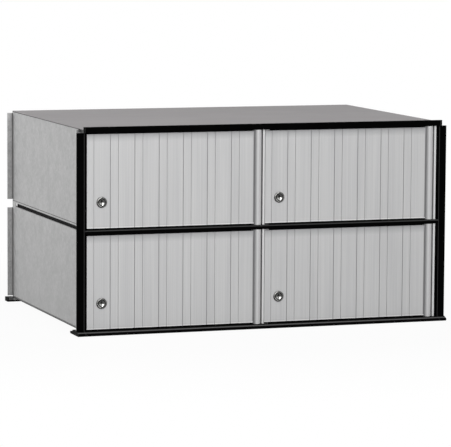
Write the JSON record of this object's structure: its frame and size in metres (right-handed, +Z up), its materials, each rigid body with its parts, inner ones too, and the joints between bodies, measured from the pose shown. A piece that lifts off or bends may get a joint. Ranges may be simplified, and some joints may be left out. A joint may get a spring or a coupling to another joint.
{
  "type": "mailbox unit",
  "caption": "Low rear-loading mailbox unit in two tiers: fluted silver doors with cam locks in a black front frame, plain sheet-metal body.",
  "frame": {"origin": "centre of the bounding box's footprint, on the floor plane that the base rail and the rear rail stand on", "axes": "+X to the right along the width, -Y out of the doors, +Z up"},
  "size_m": [0.61, 0.432, 0.3203],
  "materials": {
    "frame_black": "black powder coat, satin",
    "door_silver": "satin anodised extrusion",
    "sheet_silver": "plain rolled sheet, matt",
    "top_grey": "plain rolled sheet, matt",
    "floor_dark": "plain sheet, dark primer",
    "foot_black": "moulded black plastic",
    "rubber_black": "extruded black rubber",
    "lock_steel": "polished nickel plate",
    "fastener_steel": "zinc plated"
  },
  "bodies": {
    "cabinet": {"left_stile": "frame_black", "right_stile": "frame_black", "top_rail": "frame_black", "middle_rail": "frame_black", "base_rail": "frame_black", "rear_rail": "sheet_silver", "rear_foot_strip": "foot_black", "rear_end_caps": "foot_black", "door_stops": "frame_black", "tier_strips": "rubber_black", "upper_left_side": "sheet_silver", "upper_right_side": "sheet_silver", "lower_left_side": "sheet_silver", "lower_right_side": "sheet_silver", "top_sheet": "top_grey", "middle_shelf": "sheet_silver", "bottom_sheet": "floor_dark", "upper_partition": "sheet_silver", "lower_partition": "sheet_silver", "upper_centre_post": "door_silver", "upper_right_post": "door_silver", "lower_centre_post": "door_silver", "lower_right_post": "door_silver", "upper_left_pin": "fastener_steel", "upper_right_pin": "fastener_steel", "lower_left_pin": "fastener_steel", "lower_right_pin": "fastener_steel", "frame_screws": "fastener_steel", "rail_screws": "fastener_steel", "post_dowels": "fastener_steel", "end_screws": "fastener_steel", "side_rivets": "sheet_silver", "sheet_rivets": "sheet_silver", "shelf_rivets": "sheet_silver", "partition_rivets": "sheet_silver"},
    "upper_left_door_leaf": {"upper_left_door": "door_silver", "upper_left_lock_housing": "lock_steel", "upper_left_lock_nut": "lock_steel"},
    "upper_left_lock_core": {"upper_left_lock_plug": "lock_steel", "upper_left_cam": "lock_steel", "upper_left_cam_screw": "lock_steel"},
    "upper_right_door_leaf": {"upper_right_door": "door_silver", "upper_right_lock_housing": "lock_steel", "upper_right_lock_nut": "lock_steel"},
    "upper_right_lock_core": {"upper_right_lock_plug": "lock_steel", "upper_right_cam": "lock_steel", "upper_right_cam_screw": "lock_steel"},
    "lower_left_door_leaf": {"lower_left_door": "door_silver", "lower_left_lock_housing": "lock_steel", "lower_left_lock_nut": "lock_steel"},
    "lower_left_lock_core": {"lower_left_lock_plug": "lock_steel", "lower_left_cam": "lock_steel", "lower_left_cam_screw": "lock_steel"},
    "lower_right_door_leaf": {"lower_right_door": "door_silver", "lower_right_lock_housing": "lock_steel", "lower_right_lock_nut": "lock_steel"},
    "lower_right_lock_core": {"lower_right_lock_plug": "lock_steel", "lower_right_cam": "lock_steel", "lower_right_cam_screw": "lock_steel"}
  },
  "joints": [
    {"name": "upper_left_door_hinge", "type": "hinge", "parent": "cabinet", "child": "upper_left_door_leaf", "pos_m": [-0.0125, -0.2032, 0.23675], "axis": [0, 0, 1], "range_deg": [0, 95]},
    {"name": "upper_left_lock_turn", "type": "hinge", "parent": "upper_left_door_leaf", "child": "upper_left_lock_core", "pos_m": [-0.2651, -0.205, 0.20445], "axis": [0, 1, 0], "range_deg": [0, 90]},
    {"name": "upper_right_door_hinge", "type": "hinge", "parent": "cabinet", "child": "upper_right_door_leaf", "pos_m": [0.276, -0.2032, 0.23675], "axis": [0, 0, 1], "range_deg": [0, 95]},
    {"name": "upper_right_lock_turn", "type": "hinge", "parent": "upper_right_door_leaf", "child": "upper_right_lock_core", "pos_m": [0.0234, -0.205, 0.20445], "axis": [0, 1, 0], "range_deg": [0, 90]},
    {"name": "lower_left_door_hinge", "type": "hinge", "parent": "cabinet", "child": "lower_left_door_leaf", "pos_m": [-0.0125, -0.2032, 0.08125], "axis": [0, 0, 1], "range_deg": [0, 95]},
    {"name": "lower_left_lock_turn", "type": "hinge", "parent": "lower_left_door_leaf", "child": "lower_left_lock_core", "pos_m": [-0.2651, -0.205, 0.04895], "axis": [0, 1, 0], "range_deg": [0, 90]},
    {"name": "lower_right_door_hinge", "type": "hinge", "parent": "cabinet", "child": "lower_right_door_leaf", "pos_m": [0.276, -0.2032, 0.08125], "axis": [0, 0, 1], "range_deg": [0, 95]},
    {"name": "lower_right_lock_turn", "type": "hinge", "parent": "lower_right_door_leaf", "child": "lower_right_lock_core", "pos_m": [0.0234, -0.205, 0.04895], "axis": [0, 1, 0], "range_deg": [0, 90]}
  ]
}
